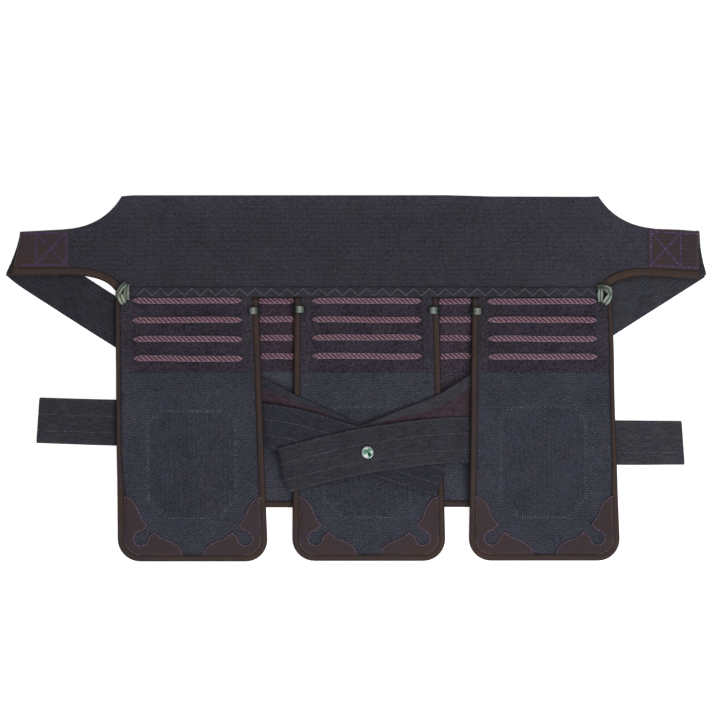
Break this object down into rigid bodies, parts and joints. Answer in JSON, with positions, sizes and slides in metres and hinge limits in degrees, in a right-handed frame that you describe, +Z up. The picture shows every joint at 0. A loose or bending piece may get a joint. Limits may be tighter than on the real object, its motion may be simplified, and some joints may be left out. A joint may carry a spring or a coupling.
{
  "type": "kendo waist protector",
  "caption": "Quilted waist protector lying flat: a padded band with end tabs, bound flaps with leather corners and plaited cords, and tie straps folded across the front.",
  "frame": {"origin": "centre of the underside of the whole object as it lies on a table", "axes": "+X along the waist to the right of the front view, +Y from the flap hems towards the band, +Z up from the table through the front side"},
  "size_m": [0.7357, 0.384, 0.026],
  "materials": {
    "band": "closely quilted cotton, matte",
    "cloth": "quilted cotton, matte",
    "strap": "stitched woven cotton, matte",
    "braid": "plaited cord, low sheen",
    "leather": "grained, satin",
    "thong": "soft, satin",
    "metal": "polished",
    "stone": "faceted, polished"
  },
  "bodies": {
    "root": {"waist_band": "band", "band_piping_left": "leather", "patch_left": "leather", "band_piping_right": "leather", "patch_right": "leather", "joining_strip": "cloth", "panel_left": "cloth", "piping_left": "leather", "corner_leather_left_a": "leather", "corner_leather_left_b": "leather", "braid_left_1": "braid", "braid_left_2": "braid", "braid_left_3": "braid", "braid_left_4": "braid", "panel_centre": "cloth", "piping_centre": "leather", "corner_leather_centre_a": "leather", "corner_leather_centre_b": "leather", "braid_centre_1": "braid", "braid_centre_2": "braid", "braid_centre_3": "braid", "braid_centre_4": "braid", "panel_right": "cloth", "piping_right": "leather", "corner_leather_right_a": "leather", "corner_leather_right_b": "leather", "braid_right_1": "braid", "braid_right_2": "braid", "braid_right_3": "braid", "braid_right_4": "braid", "small_panel_left": "cloth", "piping_small_left": "leather", "braid_small_left_1": "braid", "braid_small_left_2": "braid", "braid_small_left_3": "braid", "braid_small_left_4": "braid", "small_panel_right": "cloth", "piping_small_right": "leather", "braid_small_right_1": "braid", "braid_small_right_2": "braid", "braid_small_right_3": "braid", "braid_small_right_4": "braid", "strap_left": "strap", "strap_right": "strap", "corner_knot_left": "thong", "corner_knot_right": "thong", "edge_tie_1": "thong", "edge_tie_2": "thong", "edge_tie_3": "thong", "edge_tie_4": "thong", "stud_cup": "metal", "stud_stone": "stone"}
  },
  "joints": []
}
